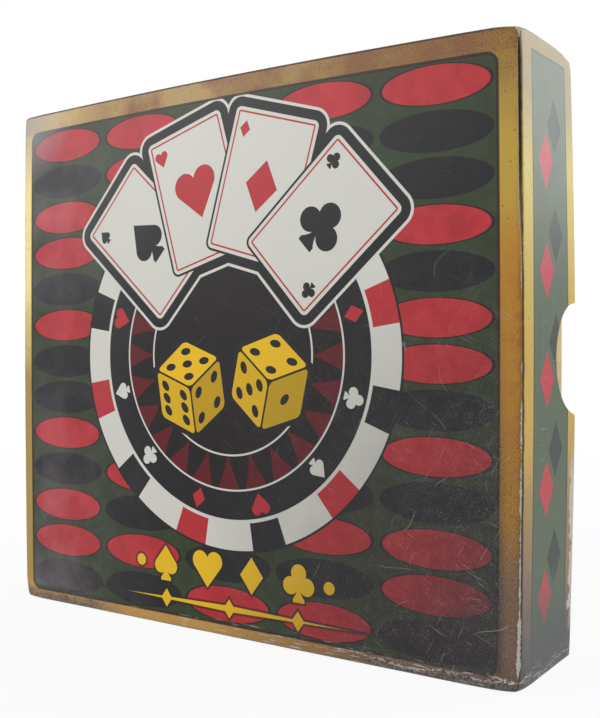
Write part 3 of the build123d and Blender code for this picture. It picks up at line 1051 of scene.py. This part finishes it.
class GAMEBOX_OT_lid(bpy.types.Operator):
    """Builds the lid: printed paper, board, corner tape and lining"""

    bl_idname = "gamebox.lid"
    bl_label = "Lid"

    def execute(self, context):
        scene = context.scene
        wear = scene.gamebox_wear
        printed = worn_print(scene.gamebox_print, wear)
        turned_in = plain_paper("turned_in_paper", (0.70, 0.56, 0.33), 0.5)
        paper = lid_part("lid_wrap", "lid_printed_paper", "printed_paper", [printed, turned_in], wear)
        for polygon in paper.data.polygons:
            polygon.material_index = int(inside_lid(polygon))
        lid_part("lid_board", "lid_greyboard", "greyboard", [greyboard()], wear)
        tape = plain_paper("kraft_tape", (0.70, 0.55, 0.37), 0.75)
        lid_part("lid_corner_stays", "lid_corner_tape", "kraft_tape", [tape], wear)
        lining = plain_paper("white_paper", (0.86, 0.85, 0.82), 0.7)
        lid_part("lid_liner", "lid_lining", "white_paper", [lining], wear)
        return {"FINISHED"}


class GAMEBOX_OT_base(bpy.types.Operator):
    """Builds the base: gold paper, board, corner tape and lining"""

    bl_idname = "gamebox.base"
    bl_label = "Base"

    def execute(self, context):
        gold = gold_paper(tuple(context.scene.gamebox_metal.paper))
        black = plain_paper("black_paper", (0.13, 0.13, 0.14), 0.7)
        tape = plain_paper("base_kraft_tape", (0.70, 0.55, 0.37), 0.75)
        board = greyboard()
        for node, name, slot, material in (
            ("base_wrap", "base_gold_paper", "gold_paper", gold),
            ("base_board", "base_greyboard", "greyboard", board),
            ("base_corner_stays", "base_corner_tape", "kraft_tape", tape),
            ("base_liner", "base_lining", "black_paper", black),
        ):
            bm = welded(node)
            slice_mesh(bm, 2, slice_places(BASE_LOW.z, BASE_HIGH.z, CUT_STEP, BESIDE_BASE_FOLD))
            mesh = mesh_from(bm, name)
            for vertex in mesh.vertices:
                across, up = vertex.co.x / MM / HALF_WIDTH, vertex.co.z / MM / HEIGHT
                back = (vertex.co.y / MM - FRONT) / DEPTH
                vertex.co.x += across * math.sin(math.pi * up) * back * context.scene.gamebox_wear.base_bow
            piece = weighted(add_piece(name, mesh, "base", slot, [material]))
            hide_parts(node)
        return {"FINISHED"}


def foam_sheet(node, name, material):
    """One foam sheet, rounded at its cut edges and a little uneven on its face."""
    low, high = corners_mm(node)
    bm = welded(node)
    for axis in (0, 2):
        slice_mesh(bm, axis, slice_places(low[axis], high[axis], FOAM_CUT_STEP, BESIDE_FOAM_EDGE))
    flat = {v for v in bm.verts if abs(v.co.y / MM - low.y) < 0.01}
    rims = [
        e for e in bm.edges
        if e.verts[0] in flat and e.verts[1] in flat and e.calc_face_angle(0) > math.radians(45)
    ]
    bmesh.ops.bevel(
        bm, geom=rims, offset=FOAM_ROUNDING * MM, segments=3, profile=0.5, affect="EDGES", clamp_overlap=True
    )
    for v in bm.verts:
        if v.co.y / MM < low.y + 0.02:
            v.co.y += FOAM_UNEVEN * MM * (0.5 + 0.5 * noise.noise(v.co / MM / 9))
    piece = weighted(add_piece(name, mesh_from(bm, name), "base", "black_foam", [material]))
    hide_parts(node)


class GAMEBOX_OT_foam(bpy.types.Operator):
    """Builds the three foam sheets, soft at their cut edges"""

    bl_idname = "gamebox.foam"
    bl_label = "Foam insert"

    def execute(self, context):
        material = foam()
        for node, name in (
            ("foam_top_layer", "foam_top_sheet"),
            ("foam_middle_layer", "foam_middle_sheet"),
            ("foam_bottom_layer", "foam_bottom_sheet"),
        ):
            foam_sheet(node, name, material)
        return {"FINISHED"}


class GAMEBOX_OT_chips(bpy.types.Operator):
    """Finishes the six struck and enamelled chips"""

    bl_idname = "gamebox.chips"
    bl_label = "Chips"

    def execute(self, context):
        metal = context.scene.gamebox_metal
        gold = gold_metal("struck_gold", metal, sunk_below=CHIP_FACE + 0.2)
        enamels = {
            "black": enamel("chip_black_enamel", tuple(metal.black_enamel)),
            "red": enamel("chip_red_enamel", tuple(metal.red_enamel)),
            "green": enamel("chip_green_enamel", tuple(metal.green_enamel)),
        }
        for number, colour in enumerate(("black", "red", "black", "red", "green", "green"), start=1):
            paint(f"chip_{number}_metal", gold)
            paint(f"chip_{number}_enamel", enamels[colour])
            soften(f"chip_{number}_metal", 0.22)
            soften(f"chip_{number}_enamel", 0.15)
        return {"FINISHED"}


class GAMEBOX_OT_card(bpy.types.Operator):
    """Finishes the brushed metal card and its inlaid suits"""

    bl_idname = "gamebox.card"
    bl_label = "Card"

    def execute(self, context):
        metal = context.scene.gamebox_metal
        paint("card_plate", gold_metal("brushed_gold", metal, brushed=1.0))
        paint("card_inlay", enamel("card_black_enamel", tuple(metal.black_enamel)))
        soften("card_plate", 0.15)
        return {"FINISHED"}


def islands(bm):
    """Groups of joined vertices, in the mesh's own order, so that every run gives the same mesh."""
    met = set()
    for first in bm.verts:
        if first in met:
            continue
        met.add(first)
        group = [first]
        for vertex in group:
            for link in vertex.link_edges:
                other = link.other_vert(vertex)
                if other not in met:
                    met.add(other)
                    group.append(other)
        yield group


def pip_caps(number):
    """Round enamel drops that fill one die's pips, dished as they dry."""
    low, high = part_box(f"die_{number}_cube")
    middle, half = (low + high) / 2, (high.x - low.x) / 2
    profile = [(0.0, 0.05), (0.6, 0.06), (1.1, 0.10), (1.42, 0.14), (1.56, 0.10), (1.62, 0.0), (1.62, -0.05)]
    steps = 24
    caps = bmesh.new()
    bm = welded(f"die_{number}_pips")
    for group in islands(bm):
        centre = sum((v.co for v in group), Vector()) / len(group)
        out = centre - middle
        axis = max(range(3), key=lambda i: abs(out[i]))
        normal = Vector([math.copysign(1.0, out[i]) if i == axis else 0.0 for i in range(3)])
        foot = centre + normal * (half - abs(out[axis]))
        turn = normal.to_track_quat("Z", "Y").to_matrix()
        rings = []
        for radius, rise in profile[1:]:
            ring = []
            for step in range(steps):
                angle = TWO_PI * step / steps
                spot = Vector((radius * math.cos(angle), radius * math.sin(angle), rise)) * MM
                ring.append(caps.verts.new(foot + turn @ spot))
            rings.append(ring)
        top = caps.verts.new(foot + turn @ Vector((0, 0, profile[0][1] * MM)))
        for step in range(steps):
            after = (step + 1) % steps
            caps.faces.new((top, rings[0][step], rings[0][after]))
            for inner, outer in zip(rings, rings[1:]):
                caps.faces.new((inner[step], outer[step], outer[after], inner[after]))
        caps.faces.new(list(reversed(rings[-1])))
    bm.free()
    return caps


class GAMEBOX_OT_dice(bpy.types.Operator):
    """Finishes the two metal dice and fills their pips"""

    bl_idname = "gamebox.dice"
    bl_label = "Dice"

    def execute(self, context):
        metal = context.scene.gamebox_metal
        gold = gold_metal("satin_gold", metal, brushed=0.4)
        black = enamel("pip_black_enamel", tuple(metal.black_enamel))
        for number in (1, 2):
            paint(f"die_{number}_cube", gold)
            soften(f"die_{number}_cube", 0.35, 3)
            name = f"die_{number}_pip_drops"
            drops = mesh_from(pip_caps(number), name)
            piece = add_piece(name, drops, f"die_{number}", "black_enamel", [black])
            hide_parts(f"die_{number}_pips")
        return {"FINISHED"}


def lamp(name, place, target, size, power):
    """A soft square lamp aimed at a point."""
    light = bpy.data.lights.new(name, "AREA")
    light.size = size
    light.energy = power
    holder = bpy.data.objects.new(name, light)
    holder.location = place
    holder.rotation_mode = "QUATERNION"
    holder.rotation_quaternion = (Vector(target) - Vector(place)).to_track_quat("-Z", "Y")
    bpy.context.scene.collection.objects.link(holder)


def seen_directly(s):
    """1 for what the camera sees by itself, in gloss or through glass."""
    path = s.add("ShaderNodeLightPath", {}, {})
    camera, glossy, clear = (
        Field(s, path.outputs[name]) for name in ("Is Camera Ray", "Is Glossy Ray", "Is Transmission Ray")
    )
    return camera.most(glossy).most(clear)


def white_floor():
    """White floor that stays white and keeps a soft shadow of the box."""
    s = Surface("floor_white")
    away = s.reach(s.x, s.y).between(160, 700)
    share = seen_directly(s) * (away * 0.08 + 0.92)
    matt = s.add("ShaderNodeBsdfDiffuse", {}, {"Color": shade(236, 236, 236)})
    glow = s.add("ShaderNodeEmission", {}, {"Color": (1, 1, 1, 1), "Strength": 1.0})
    both = s.add("ShaderNodeMixShader", {}, {0: share, 1: matt.outputs[0], 2: glow.outputs[0]})
    s.add("ShaderNodeOutputMaterial", {}, {"Surface": both.outputs[0]})
    return s.material


def white_world(soft_light):
    """White surroundings: full white where they are seen, softer where they light the box."""
    world = bpy.data.worlds.new("studio")
    s = Shading(world)
    strength = seen_directly(s) * (1 - soft_light) + soft_light
    glow = s.add("ShaderNodeBackground", {}, {"Color": (1, 1, 1, 1), "Strength": strength})
    s.add("ShaderNodeOutputWorld", {}, {"Surface": glow.outputs[0]})
    return world


def camera_turn(yaw, pitch, roll):
    """The camera's rotation from its yaw to the left, its pitch up and its roll."""
    right = Vector((math.cos(yaw), math.sin(yaw), 0))
    ahead = Vector((-math.sin(yaw) * math.cos(pitch), math.cos(yaw) * math.cos(pitch), math.sin(pitch)))
    up = right.cross(ahead)
    level = Matrix((right, up, -ahead)).transposed()
    return level @ Matrix.Rotation(roll, 3, "Z")


class GAMEBOX_OT_stage(bpy.types.Operator):
    """Sets up the floor, the light and the camera"""

    bl_idname = "gamebox.stage"
    bl_label = "Stage"

    def execute(self, context):
        scene = context.scene
        stage = scene.gamebox_stage
        mesh = bpy.data.meshes.new("floor")
        bm = bmesh.new()
        bmesh.ops.create_grid(bm, x_segments=8, y_segments=8, size=6.0)
        bm.to_mesh(mesh)
        bm.free()
        mesh.materials.append(white_floor())
        floor = bpy.data.objects.new("floor", mesh)
        floor.location = (0, 0, -0.0002)
        scene.collection.objects.link(floor)
        scene.world = white_world(stage.soft_light)
        middle = (0, 0, HEIGHT / 2 * MM)
        lamp("key", (-0.74, -0.82, 0.6), middle, 0.6, stage.key_power)
        lamp("back", (0.72, 1.0, 0.69), middle, 0.85, stage.back_power)
        camera = bpy.data.cameras.new("camera")
        camera.sensor_width = 36
        camera.sensor_fit = "AUTO"
        camera.lens = stage.lens
        camera.clip_start = 0.01
        holder = bpy.data.objects.new("camera", camera)
        holder.location = stage.camera_place
        holder.rotation_mode = "QUATERNION"
        turn = camera_turn(stage.camera_yaw, stage.camera_pitch, stage.camera_roll)
        holder.rotation_quaternion = turn.to_quaternion()
        scene.collection.objects.link(holder)
        scene.camera = holder
        scene.view_settings.view_transform = "Standard"
        return {"FINISHED"}


class GAMEBOX_PT_panel(bpy.types.Panel):
    """Lists the box's settings and the steps that build it"""

    bl_idname = "GAMEBOX_PT_panel"
    bl_label = "Game Box"
    bl_space_type = "VIEW_3D"
    bl_region_type = "UI"
    bl_category = "Game Box"

    def draw(self, context):
        for step in STEPS:
            self.layout.operator(step.bl_idname)
        for name, group in SETTINGS.items():
            box = self.layout.box()
            box.label(text=group.__doc__)
            for key in group.__annotations__:
                box.prop(getattr(context.scene, name), key)


SETTINGS = {
    "gamebox_print": PrintSettings,
    "gamebox_wear": WearSettings,
    "gamebox_metal": MetalSettings,
    "gamebox_stage": StageSettings,
}
STEPS = [
    GAMEBOX_OT_lid, GAMEBOX_OT_base, GAMEBOX_OT_foam, GAMEBOX_OT_chips,
    GAMEBOX_OT_card, GAMEBOX_OT_dice, GAMEBOX_OT_stage,
]


def register():
    for name, group in SETTINGS.items():
        bpy.utils.register_class(group)
        setattr(bpy.types.Scene, name, PointerProperty(type=group))
    for step in STEPS:
        bpy.utils.register_class(step)
    bpy.utils.register_class(GAMEBOX_PT_panel)


def unregister():
    bpy.utils.unregister_class(GAMEBOX_PT_panel)
    for step in reversed(STEPS):
        bpy.utils.unregister_class(step)
    for name, group in SETTINGS.items():
        delattr(bpy.types.Scene, name)
        bpy.utils.unregister_class(group)


def main():
    """Builds the box."""
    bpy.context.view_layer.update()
    register()
    bpy.ops.gamebox.lid()
    bpy.ops.gamebox.base()
    bpy.ops.gamebox.foam()
    bpy.ops.gamebox.chips()
    bpy.ops.gamebox.card()
    bpy.ops.gamebox.dice()
    bpy.ops.gamebox.stage()


if __name__ == "__main__":
    main()
